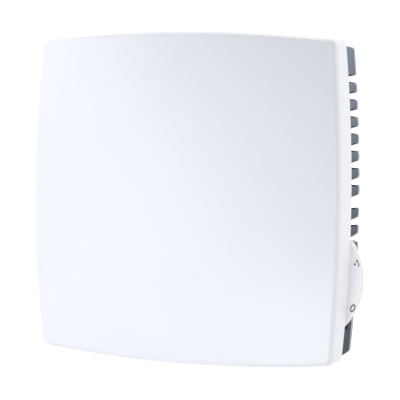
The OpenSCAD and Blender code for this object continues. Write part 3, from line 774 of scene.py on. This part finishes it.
# The width and the strokes of each figure, drawn upright with its middle 1.1 mm up.
FIGURES = {
    "0": (1.3, [arc_points(0.65, 1.1, 0.49, 0.9, 0, 360, 28)]),
    "1": (0.85, [[(0.12, 1.45), (0.36, 1.66), (0.6, 2.0), (0.6, 0.2)]]),
    "2": (1.25, [arc_points(0.6, 1.52, 0.42, 0.48, 165, -35) + [(0.2, 0.2), (1.07, 0.2)]]),
    "3": (1.25, [arc_points(0.58, 1.58, 0.4, 0.42, 150, -90)
                 + arc_points(0.58, 0.68, 0.46, 0.48, 90, -150)]),
    "+": (0.9, [[(0.15, 1.0), (0.7, 1.0)], [(0.43, 0.72), (0.43, 1.28)]]),
    "-": (0.95, [[(0.12, 1.1), (0.78, 1.1)]]),
}


def ink_stroke(bm, points, radius, frame_of):
    """A flat rounded stroke along points, laid on the wheel by frame_of(across, up, out)."""
    curve = bpy.data.curves.new("stroke", "CURVE")
    curve.dimensions = "3D"
    curve.bevel_depth = radius
    curve.bevel_resolution = 1
    curve.use_fill_caps = True
    closed = math.dist(points[0], points[-1]) < 1e-6
    points = points[:-1] if closed else points
    spline = curve.splines.new("POLY")
    spline.points.add(len(points) - 1)
    spline.use_cyclic_u = closed
    for point, (x, y) in zip(spline.points, points):
        point.co = (x, y, 0, 1)
    shape = bpy.data.objects.new("stroke", curve)
    scene.collection.objects.link(shape)
    mesh = bpy.data.meshes.new_from_object(shape)
    bpy.data.objects.remove(shape)
    for v in mesh.vertices:
        v.co = frame_of(v.co.x, v.co.y, v.co.z)
    bm.from_mesh(mesh)


ink = bmesh.new()
for value in range(-3, 4):
    text = "0" if value == 0 else f"{value:+d}"
    a = math.radians(PLUS_ONE_AT + SCALE_STEP * (value - 1))
    outward = Vector((math.cos(a), math.sin(a)))
    upward = Vector((-math.sin(a), math.cos(a)))
    width = sum(FIGURES[c][0] for c in text)
    start = WHEEL_R - 0.2 - width
    for c in text:
        def placed(across, up, out, start=start, outward=outward, upward=upward):
            p = outward * (start + across) + upward * (up - 1.1) * FIGURE_STRETCH
            return at(WHEEL_X + p.x, WHEEL_Y + p.y, WHEEL_TOP + 0.008 + 0.08 * out)
        for stroke in FIGURES[c][1]:
            ink_stroke(ink, stroke, INK_R, placed)
        start += FIGURES[c][0]
bmesh.ops.recalc_face_normals(ink, faces=ink.faces)
wheel_scale = make_piece("wheel_scale_print", ink, print_ink)
settle(wheel_scale, "wheel", "casing_white")


# --- Circuit board --------------------------------------------------------------------
# Glass-fibre board with green solder mask over etched copper tracks. Every pad is tinned, and
# each lead is soldered on the back, where the joint stands up as a small cone.
def metal(name, light, dark, rough, scratch):
    """A metal: two near tones, and fine uneven gloss from handling."""
    material, tree = new_material(name)
    wear = grain(tree, scratch, 4.0)
    tone = add_node(tree, "ShaderNodeMix", {"data_type": "RGBA"}, {
        "Factor": wear.outputs["Fac"], "A": linear(light), "B": linear(dark)})
    gloss = add_node(tree, "ShaderNodeMapRange", inputs={
        "Value": wear.outputs["Fac"], "To Min": rough - 0.07, "To Max": rough + 0.09})
    finish_material(tree, tone.outputs["Result"], gloss.outputs["Result"], Metallic=1.0)
    return material


BOARD_BACK, BOARD_FRONT = 6.2, 7.8
mask_green, mask_tree = new_material("green_solder_mask_on_glass_fibre")
# A glossy green. The glass weave shows through it as a faint grid, drawn at 1 mm where the real
# one is about half that, so that it shows.
weave_way = add_node(mask_tree, "ShaderNodeTexCoord")
weave_x = add_node(mask_tree, "ShaderNodeTexWave", {"bands_direction": "X"}, {
    "Vector": weave_way.outputs["Object"], "Scale": 300.0, "Distortion": 0.4})
weave_z = add_node(mask_tree, "ShaderNodeTexWave", {"bands_direction": "Z"}, {
    "Vector": weave_way.outputs["Object"], "Scale": 300.0, "Distortion": 0.4})
weave = add_node(mask_tree, "ShaderNodeMath", {"operation": "MULTIPLY"}, {
    0: weave_x.outputs["Fac"], 1: weave_z.outputs["Fac"]})
mask_tone = add_node(mask_tree, "ShaderNodeMix", {"data_type": "RGBA"}, {
    "Factor": weave.outputs[0], "A": linear("#11593A"), "B": linear("#17684A")})
finish_material(mask_tree, mask_tone.outputs["Result"], 0.24, IOR=1.5)
# The mask looks paler where copper lies under it.
copper_under_mask, track_tree = new_material("copper_under_solder_mask")
track_noise = grain(track_tree, 0.8)
track_tone = add_node(track_tree, "ShaderNodeMix", {"data_type": "RGBA"}, {
    "Factor": track_noise.outputs["Fac"], "A": linear("#257A4C"), "B": linear("#2C8456")})
finish_material(track_tree, track_tone.outputs["Result"], 0.22, IOR=1.5)
# Tin stays bright but is never quite even.
tin = metal("tinned_copper", "#D6D4CE", "#BDBBB4", 0.3, 0.15)

POLE_X = [-29.2 + 5 * i for i in range(4)]
POLE_Y = -16.4
JUMP_X, JUMP_Y, JUMP_PITCH = -3.4, -20.5, 2.54
RESISTOR_X, RESISTOR_Y, RESISTOR_SPAN = -19, (-25, -28.8, -32.6), 5.08
CAP_X, CAP_Y, CAP_PITCH = 13.5, -16, 2.5
SENSOR_Y, SENSOR_PAD_X, LEAD_GAP = -35.5, -29.5, 0.635
POT_PINS = [(WHEEL_X + i * 2.5, WHEEL_Y - 6.7) for i in (-1, 0, 1)]
joints = [(x, POLE_Y, 0.5) for x in POLE_X]
joints += [(JUMP_X + i * JUMP_PITCH, JUMP_Y + j * JUMP_PITCH, 0.4) for i in range(3) for j in range(2)]
joints += [(RESISTOR_X + side * RESISTOR_SPAN, y, 0.3) for y in RESISTOR_Y for side in (-1, 1)]
joints += [(CAP_X + side * CAP_PITCH, CAP_Y, 0.3) for side in (-1, 1)]
joints += [(SENSOR_PAD_X, SENSOR_Y + side * LEAD_GAP, 0.3) for side in (-1, 1)]
joints += [(x, y, 0.4) for x, y in POT_PINS]
board_edge = [(-34.1, -39.8), (39.5, -39.8), (39.5, -11), (-39.5, -11), (-39.5, -30.2), (-34.1, -30.2)]
holes = [round_hole(x, y, 1.6) for x, y in BOARD_SCREWS] + [round_hole(0, -30, 5.5, 40)]
holes += [round_hole(x, y, r + 0.1, 12) for x, y, r in joints]
board = flat_plate("circuit_board_laminate", [board_edge] + holes, BOARD_BACK, BOARD_FRONT, 0.05,
                   mask_green)
settle(board, "housing", "board_green", "circuit_board")


def track(bm, points, width, side):
    """A copper track along points, on the board's front (1) or back (-1), 0.04 mm proud."""
    surface = BOARD_FRONT if side > 0 else BOARD_BACK
    for (x0, y0), (x1, y1) in zip(points, points[1:]):
        along = Vector((x1 - x0, y1 - y0))
        unit = along.normalized()
        across = Vector((-unit.y, unit.x)) * width / 2
        overlap = unit * width * 0.4
        start, end = Vector((x0, y0)) - overlap, Vector((x1, y1)) + overlap
        corners = [start + across, start - across, end - across, end + across]
        low = [bm.verts.new(at(p.x, p.y, surface - side * 0.02)) for p in corners]
        high = [bm.verts.new(at(p.x * 0.999 + 0.001 * (x0 + x1) / 2, p.y, surface + side * 0.04))
                for p in corners]
        bridge(bm, [low, high])
        bm.faces.new(low)
        bm.faces.new(high)


# The side, width and course of each track, from joint to joint.
tracks = bmesh.new()
sensor_low, sensor_high = SENSOR_Y - LEAD_GAP, SENSOR_Y + LEAD_GAP
routes = [
    (1, 0.5, [(SENSOR_PAD_X, sensor_high), (-26.4, -32.6), (-24.08, -32.6)]),
    (1, 0.5, [(SENSOR_PAD_X, sensor_low), (-25, -38.2), (-12, -38.2), (-8.5, -34.7), (-8.5, -24),
              (-5, -20.5), (-3.4, -20.5)]),
    (1, 0.5, [(-13.92, -25), (-9.9, -21), (-9.9, -17.96), (-3.4, -17.96)]),
    (1, 0.5, [(-13.92, -28.8), (-11, -25.9), (-7.4, -22.6), (-0.86, -22.6), (-0.86, -20.5)]),
    (1, 0.5, [(1.68, -17.96), (4.5, -15.2), (9, -15.2), (11, -16)]),
    (1, 0.6, [(1.68, -20.5), (4, -22.8), (20, -22.8), (24.4, -27.2), (28.3, -28.7)]),
    (1, 0.6, [(16, -16), (19.5, -19.5), (19.5, -26), (24.5, -31.2), (30.8, -31.2), (30.8, -28.7)]),
    (1, 0.6, [(33.3, -28.7), (33.3, -33), (29, -35.5), (20, -35.5), (13, -33.4), (8.6, -33.4), (8.6, -26),
              (4.2, -24.2), (-6, -24.2)]),
    (-1, 0.9, [(-29.2, -16.4), (-29.2, -22.6), (-24.08, -25)]),
    (-1, 0.9, [(-24.2, -16.4), (-24.2, -20.8), (-21, -22), (-21, -27), (-24.08, -28.8)]),
    (-1, 0.9, [(-19.2, -16.4), (-19.2, -31), (-13.92, -32.6)]),
    (-1, 0.9, [(-14.2, -16.4), (-14.2, -13.2), (24, -13.2), (27.5, -16.6), (27.5, -24), (28.3, -28.7)]),
    (-1, 0.9, [(-0.86, -17.96), (-0.86, -14.6), (11, -14.6), (11, -16)]),
]
for side, width, route in routes:
    track(tracks, route, width, side)
bmesh.ops.recalc_face_normals(tracks, faces=tracks.faces)
board_tracks = make_piece("board_tracks", tracks, copper_under_mask)
settle(board_tracks, "housing", "board_green")


def on_points(name, places, seed, material):
    """Copies of a seed piece at places, each (point, scale), as one plain mesh."""
    carrier = bpy.data.objects.new(name, bpy.data.meshes.new(name))
    carrier.data.from_pydata([point for point, _ in places], [], [])
    sizes = carrier.data.attributes.new("size", "FLOAT", "POINT")
    sizes.data.foreach_set("value", [size for _, size in places])
    scene.collection.objects.link(carrier)
    tree, source = new_node_tree(name, Points="Geometry", Seed="Object", Material="Material")
    item = add_node(tree, "GeometryNodeObjectInfo", inputs={"Object": source.outputs["Seed"]})
    size = add_node(tree, "GeometryNodeInputNamedAttribute", inputs={"Name": "size"})
    stretch = add_node(tree, "ShaderNodeCombineXYZ", inputs={
        "X": size.outputs["Attribute"], "Y": 1.0, "Z": size.outputs["Attribute"]})
    copies = add_node(tree, "GeometryNodeInstanceOnPoints", inputs={
        "Points": source.outputs["Points"], "Instance": item.outputs["Geometry"],
        "Scale": stretch.outputs["Vector"]})
    grow(carrier, tree, copies.outputs["Instances"], source.outputs["Material"],
         Seed=seed, Material=material)
    return carrier


pad = bmesh.new()
lathe(pad, [(1.12, 0.02), (1.9, 0.02), (1.95, 0.0), (1.95, -0.04), (1.12, -0.04)], (0, 0, 0), steps=28)
pad_seed = make_piece("pad_seed", pad, tin)
pad_places = [(at(x, y, BOARD_FRONT + 0.03), r + 0.12) for x, y, r in joints]
front_pads = on_points("front_pads", pad_places, pad_seed, tin)
settle(front_pads, "housing", "tinned_metal")
cone = bmesh.new()
lathe(cone, [(0.4, 0.06), (2.1, 0.06), (2.15, 0.0), (2.1, -0.06), (1.7, -0.14), (1.35, -0.35),
             (1.16, -0.62), (1.08, -0.85), (0.4, -0.85)], (0, 0, 0), steps=28)
cone_seed = make_piece("solder_seed", cone, tin)
cone_places = [(at(x, y, BOARD_BACK), r) for x, y, r in joints]
solder = on_points("solder_joints", cone_places, cone_seed, tin)
settle(solder, "housing", "tinned_metal")
for seed in (pad_seed, cone_seed):
    bpy.data.objects.remove(seed)


# --- Board screws ---------------------------------------------------------------------
# Four zinc-plated thread-forming pan-head screws with a cross recess, driven through the board
# and the frame's ears into the bosses.
# Clear-passivated zinc is bluish and dulled by fine handling marks.
zinc = metal("zinc_plated_steel", "#C9CBCE", "#ABAEB3", 0.3, 0.2)
board_screws = eased_copy("board_screws_zinc", "board_screws", 0.12, zinc, 50)
settle(board_screws, "housing", "screw_steel", "board_screws")


# --- Potentiometer --------------------------------------------------------------------
# A 10 kilohm rotary potentiometer: a black phenolic case, a carbon ring track inside it, and a
# steel lid clamped on by two tabs. The wiper rotor turns with the steel D-shaft.
# Dull black moulding, matt black carbon, milky nylon and warm bright bronze.
phenolic = moulded_plastic("black_phenolic", "#1E1F22", "#26272B", 0.45, 1.6, 0.25, 0.01)
carbon = moulded_plastic("printed_carbon_track", "#241F1C", "#2D2824", 0.6, 1.5, 0.2, 0.01)
natural = moulded_plastic("natural_nylon", "#E4E2D8", "#DAD8CC", 0.42, 1.53, 0.3, 0.01)
bronze = metal("phosphor_bronze", "#D9A763", "#C08F50", 0.28, 0.2)
for name, node, ease, finish, slot, body in (
        ("pot_case", "potentiometer_case", 0.15, phenolic, "black_plastic", "housing"),
        ("pot_lid", "potentiometer_lid", 0.1, zinc, "screw_steel", "housing"),
        ("pot_track", "potentiometer_track", 0.04, carbon, "track_carbon", "housing"),
        ("pot_pins", "potentiometer_pins", 0.06, tin, "tinned_metal", "housing"),
        ("pot_shaft", "potentiometer_shaft", 0.08, zinc, "screw_steel", "wheel"),
        ("pot_rotor", "wiper_rotor", 0.12, natural, "natural_plastic", "wheel"),
        ("pot_wiper", "wiper_contact", 0.04, bronze, "contact_bronze", "wheel"),
        ("wheel_screw_zinc", "wheel_screw", 0.1, zinc, "screw_steel", "wheel")):
    part = eased_copy(name, node, ease, finish, 50)
    settle(part, body, slot, node)


# --- Terminal block -------------------------------------------------------------------
# Four poles at 5 mm pitch for the field wires, moulded in dark green nylon. Each pole has a
# tinned brass cage and a slotted steel screw, reached from the front.
# Nylon fills the tool less crisply than ABS, so its gloss is soft.
terminal_nylon = moulded_plastic("green_nylon", "#2A6B4C", "#2F7353", 0.4, 1.53, 0.3, 0.01)
for name, node, ease, finish, slot in (
        ("terminal_housing", "terminal_block", 0.15, terminal_nylon, "terminal_green"),
        ("terminal_cages_tinned", "terminal_cages", 0.1, tin, "tinned_metal"),
        ("terminal_screws_zinc", "terminal_screws", 0.12, zinc, "screw_steel"),
        ("terminal_pins_tinned", "terminal_pins", 0.08, tin, "tinned_metal")):
    part = eased_copy(name, node, ease, finish, 50)
    settle(part, "housing", slot, node)


# --- Jumper ---------------------------------------------------------------------------
# A two-by-three pin header at 2.54 mm pitch, gold flashed, with one blue cap that sets the
# wheel's range.
# Filled polyester has a fine, slightly glossy skin, and the gold flash is thin and pale.
header_black = moulded_plastic("black_polyester", "#1B1B1D", "#232326", 0.4, 1.57, 0.25, 0.01)
cap_blue = moulded_plastic("blue_polyester", "#21418B", "#274A98", 0.35, 1.57, 0.3, 0.01)
gold = metal("gold_flash", "#E3BC6A", "#CFA855", 0.25, 0.2)
for name, node, ease, finish, slot in (
        ("header_base", "jumper_base", 0.12, header_black, "black_plastic"),
        ("header_pins", "jumper_pins", 0.1, gold, "pin_gold"),
        ("jumper_shunt", "jumper_cap", 0.15, cap_blue, "jumper_blue")):
    part = eased_copy(name, node, ease, finish, 50)
    settle(part, "housing", slot, node)


# --- Resistors and capacitor ----------------------------------------------------------
# Three axial film resistors dipped in beige lacquer, with painted colour bands, and one dipped
# ceramic capacitor. Their tinned leads bend down into the board.
def sweep(bm, points, radius, steps=12):
    """A round wire along points, each (x, up, out), with closed ends."""
    rings = []
    for i, point in enumerate(points):
        here = Vector(point)
        ahead = Vector(points[min(i + 1, len(points) - 1)]) - Vector(points[max(i - 1, 0)])
        side = Vector((0, 1, 0)) if abs(ahead.normalized().y) < 0.9 else Vector((1, 0, 0))
        across = ahead.cross(side).normalized()
        other = ahead.cross(across).normalized()
        rings.append([bm.verts.new(at(*(here + (across * math.cos(a) + other * math.sin(a)) * radius)))
                      for a in (2 * math.pi * k / steps for k in range(steps))])
    bridge(bm, rings)
    bm.faces.new(rings[0])
    bm.faces.new(rings[-1])
    bmesh.ops.recalc_face_normals(bm, faces=bm.faces)


def bent_lead(x0, x1, y, z, end_z, bend=0.8, steps=6):
    """A lead from (x0, z) to (x1, z), then down to end_z through a bend."""
    side = math.copysign(1, x1 - x0)
    points = [(x0, y, z)]
    for i in range(steps + 1):
        a = math.pi / 2 * i / steps
        points.append((x1 - side * bend * (1 - math.sin(a)), y, z - bend * (1 - math.cos(a))))
    return points + [(x1, y, end_z)]


LEAD_END = BOARD_BACK - 1.2
LEAD_R = 0.3
RESISTOR_Z = BOARD_FRONT + 1.3
half_body = 3.15
waist_r = 0.98
# Dipped lacquer sets glossy, with slow waves instead of a grain.
lacquer = moulded_plastic("beige_lacquer", "#D2BC8B", "#C8B07D", 0.3, 1.5, 0.5, 0.01)
bodies = bmesh.new()
for y in RESISTOR_Y:
    lathe(bodies, [
        (0, -half_body), (0.5, -half_body + 0.03), (0.9, -half_body + 0.22),
        (1.12, -half_body + 0.6), (1.15, -half_body + 1.0), (1.1, -half_body + 1.5),
        (waist_r + 0.01, -half_body + 1.95), (waist_r, half_body - 1.95), (1.1, half_body - 1.5),
        (1.15, half_body - 1.0), (1.12, half_body - 0.6), (0.9, half_body - 0.22),
        (0.5, half_body - 0.03), (0, half_body)], (RESISTOR_X, y, RESISTOR_Z), "x", 32)
resistor_bodies = make_piece("resistor_bodies", bodies, lacquer)
settle(resistor_bodies, "housing", "resistor_beige", "resistors")
BANDS = {"brown": "#5A3320", "black": "#1A1A1A", "orange": "#D2691E", "gold": "#B08D3C", "red": "#A82222"}
band_codes = (("brown", "black", "orange", "gold"), ("brown", "black", "red", "gold"),
              ("orange", "orange", "red", "gold"))
for colour, code in BANDS.items():
    band_paint = moulded_plastic(f"{colour}_band_paint", code, code, 0.35, 1.5, 0.5, 0.005)
    bands = bmesh.new()
    for y, codes in zip(RESISTOR_Y, band_codes):
        for place, wanted in zip((-2.1, -0.95, -0.1, 2.1), codes):
            if wanted == colour:
                r = 1.155 if abs(place) > 2 else waist_r + 0.015
                lathe(bands, [(r - 0.1, -0.26), (r, -0.24), (r + 0.012, 0), (r, 0.24), (r - 0.1, 0.26)],
                      (RESISTOR_X + place, y, RESISTOR_Z), "x", 32)
    settle(make_piece(f"resistor_bands_{colour}", bands, band_paint), "housing", "resistor_beige")
leads = bmesh.new()
for y in RESISTOR_Y:
    for side in (-1, 1):
        course = bent_lead(RESISTOR_X + side * (half_body - 0.1), RESISTOR_X + side * RESISTOR_SPAN,
                           y, RESISTOR_Z, LEAD_END)
        sweep(leads, course, LEAD_R)
resistor_leads = make_piece("resistor_leads_tinned", leads, tin)
settle(resistor_leads, "housing", "tinned_metal", "resistor_leads")

# The epoxy dip sets glossy and slightly uneven.
dip_red = moulded_plastic("red_epoxy_dip", "#A5342A", "#B03C30", 0.22, 1.5, 0.8, 0.02)
dip = bmesh.new()
add_box(dip, (CAP_X - 3.6, CAP_Y - 1.3, BOARD_FRONT + 0.2),
        (CAP_X + 3.6, CAP_Y + 1.3, BOARD_FRONT + 4))
bmesh.ops.bevel(dip, geom=dip.edges[:], offset=1.0 * MM, segments=5, affect="EDGES", profile=0.5)
capacitor = make_piece("capacitor_dip", dip, dip_red)
settle(capacitor, "housing", "capacitor_red", "capacitor")
legs = bmesh.new()
for side in (-1, 1):
    x = CAP_X + side * CAP_PITCH
    sweep(legs, [(x - side * 0.25, CAP_Y, BOARD_FRONT + 1.2), (x - side * 0.2, CAP_Y, BOARD_FRONT + 0.7),
                 (x, CAP_Y, BOARD_FRONT + 0.25), (x, CAP_Y, LEAD_END)], LEAD_R)
capacitor_legs = make_piece("capacitor_leads_tinned", legs, tin)
settle(capacitor_legs, "housing", "tinned_metal", "capacitor_leads")


# --- Temperature sensor ---------------------------------------------------------------
# A thermistor bead dipped in black epoxy. It stands clear of the board in a cut-out by the side
# vents, on two long leads held by a small nylon clip, so that it reads the air.
SENSOR_X, SENSOR_Z = -37.2, BOARD_FRONT + 2.2
# The same dip in black, glossy all over.
epoxy = moulded_plastic("black_epoxy_dip", "#17171A", "#1E1E22", 0.2, 1.52, 0.6, 0.02)
bead = bmesh.new()
bead_r, nose_steps = 1.3, 10
nose = [(0, -bead_r)]
for i in range(1, nose_steps + 1):
    a = math.pi / 2 * i / nose_steps
    nose.append((bead_r * math.sin(a), -bead_r * math.cos(a)))
lathe(bead, nose + [(1.24, 0.4), (1.1, 0.9), (0.98, 1.3), (0.96, 1.7), (0.85, 1.95), (0, 2.0)],
      (SENSOR_X, SENSOR_Y, SENSOR_Z), "x", 32)
sensor_bead = make_piece("sensor_bead", bead, epoxy)
settle(sensor_bead, "housing", "black_plastic", "temperature_sensor")
wires = bmesh.new()
for side in (-1, 1):
    course = bent_lead(SENSOR_X + 1.8, SENSOR_PAD_X, SENSOR_Y + side * LEAD_GAP, SENSOR_Z, LEAD_END)
    sweep(wires, course, LEAD_R)
sensor_wires = make_piece("sensor_leads_tinned", wires, tin)
settle(sensor_wires, "housing", "tinned_metal", "sensor_leads")
clip = eased_copy("sensor_clip", "sensor_holder", 0.2, natural, 50)
settle(clip, "housing", "natural_plastic", "sensor_holder")


# --- Linked lamps ---------------------------------------------------------------------
# Three lamps that each light only one part of the right-hand side: the rear shell's edge, the
# dark frame from above, and the wheel's face.
def light_only(lamp, *lit, own_shadow=False):
    """Links a lamp to some pieces. With own_shadow only those pieces shade its light."""
    group = bpy.data.collections.new(lamp.name + "_lights")
    for piece in lit:
        group.objects.link(piece)
    lamp.light_linking.receiver_collection = group
    if own_shadow:
        lamp.light_linking.blocker_collection = group


rear_lamp = soft_lamp("rear_lamp", at(170, 0, 0), at(47, 0, 8), 80, 0.16, "#FFFFFF")
light_only(rear_lamp, housing_wall)
frame_lamp = soft_lamp("frame_lamp", at(110, 75, 50), at(47, 0, 12), 30, 0.42, "#F6F7FF")
light_only(frame_lamp, louvre_frame)
wheel_lamp = soft_lamp("wheel_lamp", at(90, -22, 150), at(48, -22, 15), 40, 0.05, "#FFFAF4")
light_only(wheel_lamp, wheel_disc, knurl, wheel_scale, own_shadow=True)
